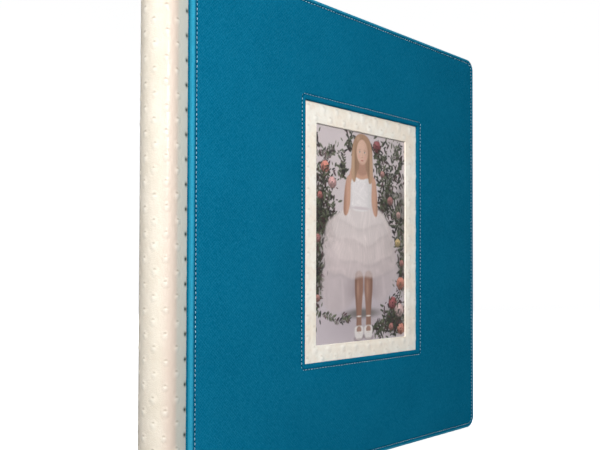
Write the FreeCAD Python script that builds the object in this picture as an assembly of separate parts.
"""Padded scrapbook album with a ring mechanism, built piece by piece.

Frame: millimetres, +Z up. The closed album stands on its tail edge. +X runs from the spine to the
fore edge, -Y is the front cover, and the origin is the middle of the bounding box's base.
"""
import math
import os

import FreeCAD
import Part

V = FreeCAD.Vector

# ---- driving dimensions ---------------------------------------------------------------------
ALBUM_HEIGHT = 308.0
ALBUM_DEPTH = 315.0            # spine apex to fore edge
ALBUM_THICKNESS = 35.0
SPINE_REACH = 19.0             # how far the spine's apex stands out from the covers' near edge
SPINE_RADIUS = 17.5            # rounded back
SHOULDER_RADIUS = 6.5          # where the back turns into the joint

LEATHER = 0.8
FOAM = 1.5
BOARD = 2.0
TURN_IN = 0.5                  # pressed thin where it is glued down inside
TURN_IN_WIDTH = 15.0
LINING = 1.0

FORE_CORNER = 8.7
NEAR_CORNER = 3.2
EDGE_ROUND = 2.5
STITCH_INSET = 3.2             # middle of the seam, from the cover's edge
THREAD_WIDTH = 0.6
THREAD_SUNK = 0.1              # below the leather's face
GROOVE_WIDTH = 1.0
GROOVE_DEPTH = 0.55

RECESS = (91.5, 215.5, 69.7, 241.2)   # opening in the cover: from near edge, to, from tail, to
WINDOW = (104.0, 203.0, 80.6, 228.0)  # opening in the frame, measured the same way
FRAME_MARGIN = 3.8             # frame hidden under the cover's leather
WINDOW_SEAM = 3.4              # seam outside the recess
PRINT_SIZE = (101.6, 152.4)
FILM_MARGIN = 2.4              # film and backing beyond the print

RING_RADIUS = 8.0              # centre line of the wire
WIRE_RADIUS = 1.3
RING_PITCH = 108.0
RING_OPENING = 10.0            # degrees each half turns
SHIELD_HALF_WIDTH = 8.6
SHIELD_HEIGHT = 4.2
SHIELD_SHEET = 0.7
SHIELD_END = 22.0              # from head and tail
SHIELD_LIP = 1.0               # the shield's edge, where it stands on the lining
RING_SLOT = (2.6, 7.0, 1.8)    # slot for a ring's leg: y from, y to, half height
BLADE_SHEET = 0.8
BLADE_EDGE = 4.8               # pivot line, from the middle
BLADE_LIFT = 1.2               # above the base plane
BLADE_GAP = 0.25               # from each blade to the middle
RING_LIFT = 5.9                # ring centre above the shield
RING_LEG_TURN = 125.0          # degrees round the bow to its straight leg
RING_TIP_GAP = 0.35            # each tip's end face, from the middle
RIVET_END = 30.0               # from head and tail
RIVET_SHANK = 1.6
RIVET_HEAD = (2.8, 0.7)        # radius and height on the shield
RIVET_TAIL = (3.0, 0.9)        # radius and height behind the spine board
BLADE_HOLE = 2.2               # clears a rivet's shank
EAR_IN_Y = 5.6
EAR_OUT_Y = 6.4
EAR_HEIGHT = 3.0
EAR_REACH = 2.5                # beyond the pivot
EAR_ROOT = 4.0                 # along the shield
LEVER_PIVOT = 18.5             # from head and tail
PIN_RADIUS = 0.8
PIN_LIFT = 1.6                 # above the base plane
PIN_END = 0.3                  # beyond each ear
LEVER_WALL = 0.6               # round the pin
LEVER_LENGTH = 8.5
LEVER_PLATE = (-0.2, 1.2)      # thumb plate: from and to, above the pivot
THUMB_RADIUS = 1.3
THUMB_LIFT = 0.7
LEVER_FLAT = 1.35              # hub cut flat this far below the pivot
LEVER_NOSE = (-1.5, -1.2, 1.0, 2.1)   # x from, x to, half width, and length below the pivot

LEAVES = 8
LEAF_PITCH = 2.45
LEAF_THICKNESS = 1.7
TAB_PITCH = 1.47
TAB_THICKNESS = 0.4
FILM = 0.2
HOLE_RADIUS = 3.5
HOLE_PLAY = 0.8                # the leaf hangs this far out on its ring
HOLE_MARGIN = (2.4, 1.5)       # tab beyond the hole: towards the spine, towards the leaf
TAB_LAP = 3.2                  # tab held between the pocket's films
POCKET_EDGE = 2.0              # welded edge
LEAF_TAIL = 8.0                # from head and tail
TAB_TAIL = 38.0
POCKET_START = 22.0            # from the cover's near edge
LEAF_FORE = 5.0                # from the cover's fore edge
FIT = 0.05

SPINE_BOARD_HALF = 10.5
SPINE_BOARD_DEPTH = 5.8        # behind the apex
SPINE_PADDING_EXTRA = 1.0      # padding beyond the board's sides
SPINE_LINING = 0.4
SPINE_LINING_END = 3.0         # from head and tail
FOLD_SETBACK = 3.2             # hinge fold, from the cover's near edge
FOLD_GAP = 0.9                 # each side of the fold line
FLAP_WIDTH = 20.0              # hinge leather glued under the cover
LINING_SIDE = 0.5              # from the hinge leather's edge
LINING_FORE = 3.5              # from the fore edge
LINING_END = 4.0               # from head and tail
FRAME_LEATHER = 0.7
FRAME_BOARD = 0.9
WINDOW_FILM = 0.2
PRINT_THICKNESS = 0.3

# ---- worked-out places ----------------------------------------------------------------------
FORE_X = ALBUM_DEPTH / 2
APEX_X = -ALBUM_DEPTH / 2
NEAR_X = APEX_X + SPINE_REACH
OUTER_Y = ALBUM_THICKNESS / 2
FOAM_Y = OUTER_Y - LEATHER
BOARD_Y = FOAM_Y - FOAM
BOARD_IN_Y = BOARD_Y - BOARD
PANEL_Y = BOARD_IN_Y - TURN_IN            # underside of the cover panel
INNER_Y = PANEL_Y - LINING                # inside face of the cover
MID_Z = ALBUM_HEIGHT / 2

BACK_CENTRE = (APEX_X + SPINE_RADIUS, 0.0)
SHOULDER_OFFSET = (SPINE_RADIUS - SHOULDER_RADIUS) * math.sin(math.radians(45))
SHOULDER_CENTRE = (BACK_CENTRE[0] - SHOULDER_OFFSET, SHOULDER_OFFSET)


def strip_slope():
    """Angle of the joint strip, tangent to the shoulder and ending under the cover panel."""
    dx = NEAR_X - SHOULDER_CENTRE[0]
    dy = PANEL_Y - SHOULDER_CENTRE[1]
    return math.asin(SHOULDER_RADIUS / math.hypot(dx, dy)) - math.atan2(dy, dx)


SLOPE = strip_slope()
FOLD_X = NEAR_X - FOLD_SETBACK

SPINE_BOARD_X = APEX_X + SPINE_BOARD_DEPTH
SPINE_INNER_X = SPINE_BOARD_X + BOARD
BASE_X = SPINE_INNER_X + SPINE_LINING     # the mechanism sits on this plane
SHIELD_X = BASE_X + SHIELD_HEIGHT
RING_X = SHIELD_X + RING_LIFT
BLADE_X = BASE_X + BLADE_LIFT
RING_Z = [MID_Z - RING_PITCH, MID_Z, MID_Z + RING_PITCH]
RIVET_Z = [RIVET_END, ALBUM_HEIGHT - RIVET_END]
PIN_X = BASE_X + PIN_LIFT
POCKET_X = NEAR_X + POCKET_START
LEAF_FORE_X = FORE_X - LEAF_FORE


# ---- helpers --------------------------------------------------------------------------------
def box(x0, x1, y0, y1, z0, z1):
    return Part.makeBox(x1 - x0, y1 - y0, z1 - z0, V(x0, y0, z0))


def rounded_plate(x0, x1, y0, y1, z0, z1, near, fore):
    """Plate in the XZ plane with its near and fore corners rounded."""
    corners = [(x1 - fore, z0 + fore, fore), (x1 - fore, z1 - fore, fore),
               (x0 + near, z1 - near, near), (x0 + near, z0 + near, near)]
    arcs = []
    for turn, (cx, cz, radius) in enumerate(corners):
        angles = [math.radians(90 * (turn - 1) + step) for step in (0, 45, 90)]
        arcs.append([V(cx + radius * math.cos(a), y0, cz + radius * math.sin(a)) for a in angles])
    edges = []
    for arc, following in zip(arcs, arcs[1:] + arcs[:1]):
        edges.append(Part.Arc(*arc).toShape())
        edges.append(Part.makeLine(arc[2], following[0]))
    return Part.Face(Part.Wire(edges)).extrude(V(0, y1 - y0, 0))


def prism(points, z0, z1):
    """Straight-sided profile in the XY plane, raised from z0 to z1."""
    wire = Part.makePolygon([V(x, y, z0) for x, y in points + points[:1]])
    return Part.Face(wire).extrude(V(0, 0, z1 - z0))


def rod_y(x, z, radius, y0, y1):
    return Part.makeCylinder(radius, y1 - y0, V(x, y0, z), V(0, 1, 0))


def rod_x(y, z, radius, x0, x1):
    return Part.makeCylinder(radius, x1 - x0, V(x0, y, z), V(1, 0, 0))


def to_back(shape):
    """The same piece on the back cover's side."""
    return shape.mirror(V(0, 0, 0), V(0, 1, 0))


def cover_rect(rect, grow=0.0):
    """A rectangle stated from the cover's near edge and tail, as x0, x1, z0, z1."""
    return (NEAR_X + rect[0] - grow, NEAR_X + rect[1] + grow, rect[2] - grow, rect[3] + grow)


def cover_plate(inset, y0, y1):
    """Full cover outline, inset from the edges."""
    return rounded_plate(NEAR_X + inset, FORE_X - inset, y0, y1, inset, ALBUM_HEIGHT - inset,
                         max(NEAR_CORNER - inset, 0.5), max(FORE_CORNER - inset, 0.5))


def seam_loop(rect, corners, width, y0, y1):
    """A closed band whose middle line is the given rectangle."""
    x0, x1, z0, z1 = rect
    near, fore = corners
    h = width / 2
    outer = rounded_plate(x0 - h, x1 + h, y0, y1, z0 - h, z1 + h, near + h, fore + h)
    inner = rounded_plate(x0 + h, x1 - h, y0 - 1, y1 + 1, z0 + h, z1 - h, near - h, fore - h)
    return outer.cut(inner)


EDGE_SEAM = (NEAR_X + STITCH_INSET, FORE_X - STITCH_INSET, STITCH_INSET, ALBUM_HEIGHT - STITCH_INSET)
EDGE_SEAM_CORNERS = (1.0, FORE_CORNER - STITCH_INSET)
WINDOW_SEAM_RECT = cover_rect(RECESS, WINDOW_SEAM)
WINDOW_SEAM_CORNERS = (1.0, 1.0)


# ---- spine ----------------------------------------------------------------------------------
def back_outline(offset, end_x):
    """Edges of the spine's leather from one joint strip's end to the other, moved inwards by offset."""
    radius = SHOULDER_RADIUS - offset
    big = SPINE_RADIUS - offset
    cx, cy = SHOULDER_CENTRE

    def on_shoulder(a):
        return (cx - radius * math.sin(a), cy + radius * math.cos(a))

    def on_back(a):
        return (BACK_CENTRE[0] - big * math.cos(a), big * math.sin(a))

    def low(point):
        return (point[0], -point[1])

    def line(a, b):
        return Part.makeLine(V(*a, 0), V(*b, 0))

    def arc(a, b, c):
        return Part.Arc(V(*a, 0), V(*b, 0), V(*c, 0)).toShape()

    leave = on_shoulder(-SLOPE)
    end = (end_x, leave[1] - (end_x - leave[0]) * math.tan(SLOPE))
    middle = on_shoulder((math.radians(45) - SLOPE) / 2)
    join = on_shoulder(math.radians(45))
    edges = [line(end, leave), arc(leave, middle, join), arc(join, on_back(0), low(join)),
             arc(low(join), low(middle), low(leave)), line(low(leave), low(end))]
    return edges, end


def spine_leather():
    outer, outer_end = back_outline(0.0, FOLD_X - FOLD_GAP)
    inner, inner_end = back_outline(LEATHER, FOLD_X - FOLD_GAP)
    ends = [Part.makeLine(V(outer_end[0], s * outer_end[1], 0), V(inner_end[0], s * inner_end[1], 0))
            for s in (1, -1)]
    shell = Part.Face(Part.Wire(Part.__sortEdges__(outer + inner + ends))).extrude(V(0, 0, ALBUM_HEIGHT))
    closing = Part.makeLine(V(outer_end[0], -outer_end[1], 0), V(outer_end[0], outer_end[1], 0))
    full = Part.Face(Part.Wire(Part.__sortEdges__(outer + [closing])))
    caps = None
    for z in (0.0, ALBUM_HEIGHT - LEATHER):
        cap = full.extrude(V(0, 0, LEATHER))
        cap.translate(V(0, 0, z))
        cap = cap.common(box(APEX_X - 1, SPINE_INNER_X, -20, 20, z, z + LEATHER))
        caps = cap if caps is None else caps.fuse(cap)
    return shell.fuse(caps).removeSplitter()


def rivet_shape(z):
    shank = rod_x(0, z, RIVET_SHANK, SPINE_BOARD_X - RIVET_TAIL[1] / 2, SHIELD_X)
    head = rod_x(0, z, RIVET_HEAD[0], SHIELD_X, SHIELD_X + RIVET_HEAD[1])
    tail = rod_x(0, z, RIVET_TAIL[0], SPINE_BOARD_X - RIVET_TAIL[1], SPINE_BOARD_X)
    return shank.fuse([head, tail]).removeSplitter()


def rivet_holes(radius):
    return [rod_x(0, z, radius, SPINE_BOARD_X - 5, SHIELD_X + 5) for z in RIVET_Z]


def spine_board():
    body = box(SPINE_BOARD_X, SPINE_INNER_X, -SPINE_BOARD_HALF, SPINE_BOARD_HALF,
               LEATHER, ALBUM_HEIGHT - LEATHER)
    return body.cut(rivet_holes(RIVET_SHANK + FIT))


def spine_padding():
    half = SPINE_BOARD_HALF + SPINE_PADDING_EXTRA
    crown = APEX_X + LEATHER + FIT
    arc = Part.Arc(V(SPINE_BOARD_X, -half, 0), V(crown, 0, 0), V(SPINE_BOARD_X, half, 0)).toShape()
    chord = Part.makeLine(V(SPINE_BOARD_X, half, 0), V(SPINE_BOARD_X, -half, 0))
    body = Part.Face(Part.Wire([arc, chord])).extrude(V(0, 0, ALBUM_HEIGHT - 2 * LEATHER))
    body.translate(V(0, 0, LEATHER))
    pockets = [rod_x(0, z, RIVET_TAIL[0] + FIT, SPINE_BOARD_X - RIVET_TAIL[1] - FIT, SPINE_BOARD_X + 1)
               for z in RIVET_Z]
    return body.cut(pockets)


def spine_lining():
    body = box(SPINE_INNER_X, BASE_X, -SPINE_BOARD_HALF, SPINE_BOARD_HALF,
               SPINE_LINING_END, ALBUM_HEIGHT - SPINE_LINING_END)
    return body.cut(rivet_holes(RIVET_SHANK + FIT))


# ---- ring mechanism -------------------------------------------------------------------------
def arch(height, half_width, z0, z1):
    """Solid under a circular arch that stands on the base plane."""
    arc = Part.Arc(V(BASE_X, -half_width, z0), V(BASE_X + height, 0, z0), V(BASE_X, half_width, z0)).toShape()
    chord = Part.makeLine(V(BASE_X, half_width, z0), V(BASE_X, -half_width, z0))
    return Part.Face(Part.Wire([arc, chord])).extrude(V(0, 0, z1 - z0))


def ring_shield():
    z0, z1 = SHIELD_END, ALBUM_HEIGHT - SHIELD_END
    body = arch(SHIELD_HEIGHT, SHIELD_HALF_WIDTH, z0, z1)
    body = body.cut(arch(SHIELD_HEIGHT - SHIELD_SHEET, SHIELD_HALF_WIDTH - SHIELD_LIP, z0 - 1, z1 + 1))
    ears = ((LEVER_PIVOT - EAR_REACH, z0 + EAR_ROOT),
            (z1 - EAR_ROOT, ALBUM_HEIGHT - LEVER_PIVOT + EAR_REACH))
    slot_in, slot_out, slot_half = RING_SLOT
    for side in (-1, 1):
        y0, y1 = sorted((side * EAR_IN_Y, side * EAR_OUT_Y))
        for ear_z0, ear_z1 in ears:
            body = body.fuse(box(BASE_X, BASE_X + EAR_HEIGHT, y0, y1, ear_z0, ear_z1))
        slot_y0, slot_y1 = sorted((side * slot_in, side * slot_out))
        for z in RING_Z:
            body = body.cut(box(BLADE_X, SHIELD_X + 1, slot_y0, slot_y1, z - slot_half, z + slot_half))
    for z in (LEVER_PIVOT, ALBUM_HEIGHT - LEVER_PIVOT):
        body = body.cut(rod_y(PIN_X, z, PIN_RADIUS, -SHIELD_HALF_WIDTH, SHIELD_HALF_WIDTH))
    return body.cut(rivet_holes(RIVET_SHANK)).removeSplitter()


def blade():
    """Hinged plate on the back cover's side; its outer edge is the pivot."""
    end = LEVER_PIVOT + 1.7
    body = box(BLADE_X, BLADE_X + BLADE_SHEET, BLADE_GAP, BLADE_EDGE, end, ALBUM_HEIGHT - end)
    return body.cut(rivet_holes(BLADE_HOLE))


def half_ring(z):
    """Half ring on the back cover's side: a round bow, then a straight leg down to the blade."""
    tip = math.degrees(RING_TIP_GAP / RING_RADIUS)
    section = Part.Face(Part.Wire(Part.makeCircle(WIRE_RADIUS, V(RING_RADIUS, 0, 0), V(0, 1, 0))))
    bow = section.revolve(V(0, 0, 0), V(0, 0, 1), RING_LEG_TURN - tip)
    bow.rotate(V(0, 0, 0), V(0, 0, 1), tip)
    bow.translate(V(RING_X, 0, z))
    a = math.radians(RING_LEG_TURN)
    foot = V(RING_X + RING_RADIUS * math.cos(a), RING_RADIUS * math.sin(a), z)
    blade_top = BLADE_X + BLADE_SHEET
    leg = Part.makeCylinder(WIRE_RADIUS, (foot.x - blade_top) / math.sin(a) + 2.0, foot,
                            V(-math.sin(a), math.cos(a), 0))
    below = box(BLADE_X - 5, blade_top, -5, 15, z - 2 * WIRE_RADIUS, z + 2 * WIRE_RADIUS)
    return bow.fuse(leg).cut(below).removeSplitter()


def ring_tongue(z):
    """Short tongue on one ring tip, which enters the other tip's socket."""
    return Part.makeCone(0.75, 0.45, 1.0, V(RING_X + RING_RADIUS, 0.34, z), V(0, -1, 0))


def ring_socket(z):
    return Part.makeCone(0.9, 0.6, 1.0, V(RING_X + RING_RADIUS, -0.3, z), V(0, -1, 0))


def lever():
    """Upper opening lever: hub on its pin, thumb plate, and a nose under the blades."""
    z = ALBUM_HEIGHT - LEVER_PIVOT
    half = EAR_IN_Y - 0.3
    hub = rod_y(PIN_X, z, PIN_RADIUS + LEVER_WALL, -half, half)
    hub = hub.cut(box(PIN_X - 3, PIN_X + 3, -half - 1, half + 1, z - 3, z - LEVER_FLAT))
    plate = box(PIN_X, PIN_X + LEVER_LENGTH, -half, half, z + LEVER_PLATE[0], z + LEVER_PLATE[1])
    thumb = rod_y(PIN_X + LEVER_LENGTH, z + THUMB_LIFT, THUMB_RADIUS, -half, half)
    nose_x0, nose_x1, nose_half, nose_length = LEVER_NOSE
    nose = box(PIN_X + nose_x0, PIN_X + nose_x1, -nose_half, nose_half, z - nose_length, z)
    body = hub.fuse([plate, thumb, nose])
    return body.cut(rod_y(PIN_X, z, PIN_RADIUS + FIT, -half - 1, half + 1)).removeSplitter()


def lever_pin(z):
    return rod_y(PIN_X, z, PIN_RADIUS, -EAR_OUT_Y - PIN_END, EAR_OUT_Y + PIN_END)


# ---- covers ---------------------------------------------------------------------------------
def panel_solid(inset, y_outer, y_inner, edge_round):
    """Front cover outline with its outer edges rounded over."""
    body = cover_plate(inset, y_outer, y_inner)
    rim = [e for e in body.Edges if all(abs(v.Point.y - y_outer) < 1e-6 for v in e.Vertexes)]
    return body.makeFillet(edge_round, rim)


def cover_board():
    return cover_plate(LEATHER, -BOARD_Y, -BOARD_IN_Y)


def cover_padding():
    return panel_solid(LEATHER, -FOAM_Y, -BOARD_Y, FOAM - 0.1)


def cover_leather():
    outer = panel_solid(0.0, -OUTER_Y, -PANEL_Y, EDGE_ROUND)
    core = cover_padding().fuse(cover_board())
    opening = cover_plate(TURN_IN_WIDTH, -BOARD_IN_Y - 0.01, -PANEL_Y + 1)
    body = outer.cut(core).cut(opening)
    groove = seam_loop(EDGE_SEAM, EDGE_SEAM_CORNERS, GROOVE_WIDTH, -OUTER_Y - 1, -OUTER_Y + GROOVE_DEPTH)
    return body.cut(groove)


def edge_thread():
    return seam_loop(EDGE_SEAM, EDGE_SEAM_CORNERS, THREAD_WIDTH,
                     -OUTER_Y + THREAD_SUNK, -OUTER_Y + GROOVE_DEPTH)


def window_thread():
    return seam_loop(WINDOW_SEAM_RECT, WINDOW_SEAM_CORNERS, THREAD_WIDTH,
                     -OUTER_Y + THREAD_SUNK, -OUTER_Y + GROOVE_DEPTH)


def recess_tool(grow, y0, y1):
    x0, x1, z0, z1 = cover_rect(RECESS, grow)
    return box(x0, x1, y0, y1, z0, z1)


def front_leather():
    body = cover_leather()
    wall = recess_tool(LEATHER, -FOAM_Y - 0.2, -BOARD_Y)
    body = body.fuse(wall).cut(recess_tool(0.0, -OUTER_Y - 1, -BOARD_Y + 1))
    groove = seam_loop(WINDOW_SEAM_RECT, WINDOW_SEAM_CORNERS, GROOVE_WIDTH,
                       -OUTER_Y - 1, -OUTER_Y + GROOVE_DEPTH)
    return body.cut(groove).removeSplitter()


def front_padding():
    return cover_padding().cut(recess_tool(LEATHER, -OUTER_Y, 0))


def front_board():
    return cover_board().cut(recess_tool(FRAME_MARGIN + 0.2, -OUTER_Y, 0))


def frame_piece(y0, y1):
    """Flat frame between the cover's recess and the window."""
    outer = recess_tool(FRAME_MARGIN, y0, y1)
    x0, x1, z0, z1 = cover_rect(WINDOW)
    return outer.cut(box(x0, x1, y0 - 1, y1 + 1, z0, z1))


def behind_window(margin, y0, y1):
    x0, x1, z0, z1 = cover_rect(WINDOW)
    cx, cz = (x0 + x1) / 2, (z0 + z1) / 2
    hx, hz = PRINT_SIZE[0] / 2 + margin, PRINT_SIZE[1] / 2 + margin
    return box(cx - hx, cx + hx, y0, y1, cz - hz, cz + hz)


def hinge_flap():
    """Joint leather on the front cover: from the fold, down the strip, then flat under the panel."""
    start = FOLD_X + FOLD_GAP
    rise = (NEAR_X - start) * math.tan(SLOPE)
    top, low = -PANEL_Y, -PANEL_Y + LEATHER
    end = NEAR_X + FLAP_WIDTH
    points = [(start, top - rise), (NEAR_X, top), (end, top), (end, low), (NEAR_X, low), (start, low - rise)]
    return prism(points, 0.0, ALBUM_HEIGHT)


def cover_lining():
    return box(NEAR_X + FLAP_WIDTH + LINING_SIDE, FORE_X - LINING_FORE, -PANEL_Y, -INNER_Y,
               LINING_END, ALBUM_HEIGHT - LINING_END)


# ---- leaves ---------------------------------------------------------------------------------
def leaf_places(index):
    """Height of the leaf's body and tab, and how far the round ring lets the leaf slide back."""
    step = index - (LEAVES - 1) / 2
    tab_y = step * TAB_PITCH
    slide = math.sqrt(RING_RADIUS ** 2 - tab_y ** 2) - RING_RADIUS
    return step * LEAF_PITCH, tab_y, slide


def leaf_sleeve(index):
    body_y, tab_y, slide = leaf_places(index)
    hole_x = RING_X + RING_RADIUS + slide + HOLE_PLAY
    t = TAB_THICKNESS / 2
    h = LEAF_THICKNESS / 2
    spine_end = hole_x - HOLE_RADIUS - HOLE_MARGIN[0]
    bend = hole_x + HOLE_RADIUS + HOLE_MARGIN[1]
    joins = POCKET_X + slide - 3.0
    lap = joins + TAB_LAP
    fore = LEAF_FORE_X + slide
    tab = prism([(spine_end, tab_y - t), (bend, tab_y - t), (joins, body_y - t), (lap, body_y - t),
                 (lap, body_y + t), (joins, body_y + t), (bend, tab_y + t), (spine_end, tab_y + t)],
                TAB_TAIL, ALBUM_HEIGHT - TAB_TAIL)
    pocket = box(joins + 3.0, fore, body_y - h, body_y + h, LEAF_TAIL, ALBUM_HEIGHT - LEAF_TAIL)
    inside = box(joins + 3.0 + POCKET_EDGE, fore - POCKET_EDGE, body_y - h + FILM, body_y + h - FILM,
                 LEAF_TAIL + POCKET_EDGE, ALBUM_HEIGHT)
    holes = [rod_y(hole_x, z, HOLE_RADIUS, tab_y - 1.5, tab_y + 1.5) for z in RING_Z]
    return tab.fuse(pocket).cut(inside).cut(holes).removeSplitter()


def leaf_card(index):
    body_y, _, slide = leaf_places(index)
    h = LEAF_THICKNESS / 2 - FILM - FIT
    side = POCKET_EDGE + 0.5
    return box(POCKET_X + slide + side, LEAF_FORE_X + slide - side, body_y - h, body_y + h,
               LEAF_TAIL + POCKET_EDGE + 0.2, ALBUM_HEIGHT - LEAF_TAIL - 1.0)


# ---- assembly -------------------------------------------------------------------------------
def front_cover_nodes():
    frame_y = -BOARD_Y + FRAME_LEATHER
    film_y = frame_y + FRAME_BOARD
    print_y = film_y + WINDOW_FILM
    backing_y = print_y + PRINT_THICKNESS
    return {
        "front_cover_board": front_board(),
        "front_cover_padding": front_padding(),
        "front_cover_leather": front_leather(),
        "front_cover_thread": edge_thread(),
        "window_thread": window_thread(),
        "frame_leather": frame_piece(-BOARD_Y, frame_y),
        "frame_board": frame_piece(frame_y, film_y),
        "window_film": behind_window(FILM_MARGIN, film_y, print_y),
        "photo_print": behind_window(0.0, print_y, backing_y),
        "photo_backing": behind_window(FILM_MARGIN, backing_y, -PANEL_Y),
        "front_hinge_leather": hinge_flap(),
        "front_lining": cover_lining(),
    }


def back_cover_nodes():
    return {
        "back_cover_board": to_back(cover_board()),
        "back_cover_padding": to_back(cover_padding()),
        "back_cover_leather": to_back(cover_leather()),
        "back_cover_thread": to_back(edge_thread()),
        "back_hinge_leather": to_back(hinge_flap()),
        "back_lining": to_back(cover_lining()),
    }


def spine_nodes():
    return {
        "spine_board": spine_board(),
        "spine_padding": spine_padding(),
        "spine_leather": spine_leather(),
        "spine_lining": spine_lining(),
        "ring_shield": ring_shield(),
        "lower_rivet": rivet_shape(RIVET_Z[0]),
        "upper_rivet": rivet_shape(RIVET_Z[1]),
        "lower_lever_pin": lever_pin(LEVER_PIVOT),
        "upper_lever_pin": lever_pin(ALBUM_HEIGHT - LEVER_PIVOT),
    }


def mechanism_nodes():
    upper = lever()
    nodes = {
        "upper_lever": upper,
        "lower_lever": upper.mirror(V(0, 0, MID_Z), V(0, 0, 1)),
        "right_blade": blade(),
        "left_blade": to_back(blade()),
    }
    for name, z in zip(("lower", "middle", "upper"), RING_Z):
        nodes["right_ring_" + name] = half_ring(z).fuse(ring_tongue(z)).removeSplitter()
        nodes["left_ring_" + name] = to_back(half_ring(z)).cut(ring_socket(z))
    return nodes


def leaf_nodes():
    nodes = {}
    for index in range(LEAVES):
        nodes["leaf_%d_sleeve" % (index + 1)] = leaf_sleeve(index)
        nodes["leaf_%d_card" % (index + 1)] = leaf_card(index)
    return nodes


def album():
    nodes = {}
    for group in (spine_nodes, mechanism_nodes, front_cover_nodes, back_cover_nodes, leaf_nodes):
        nodes.update(group())
    return nodes


os.makedirs("parts", exist_ok=True)
ALL_NODES = album()
for node_name, node_shape in ALL_NODES.items():
    node_shape.exportStep("parts/%s.step" % node_name)
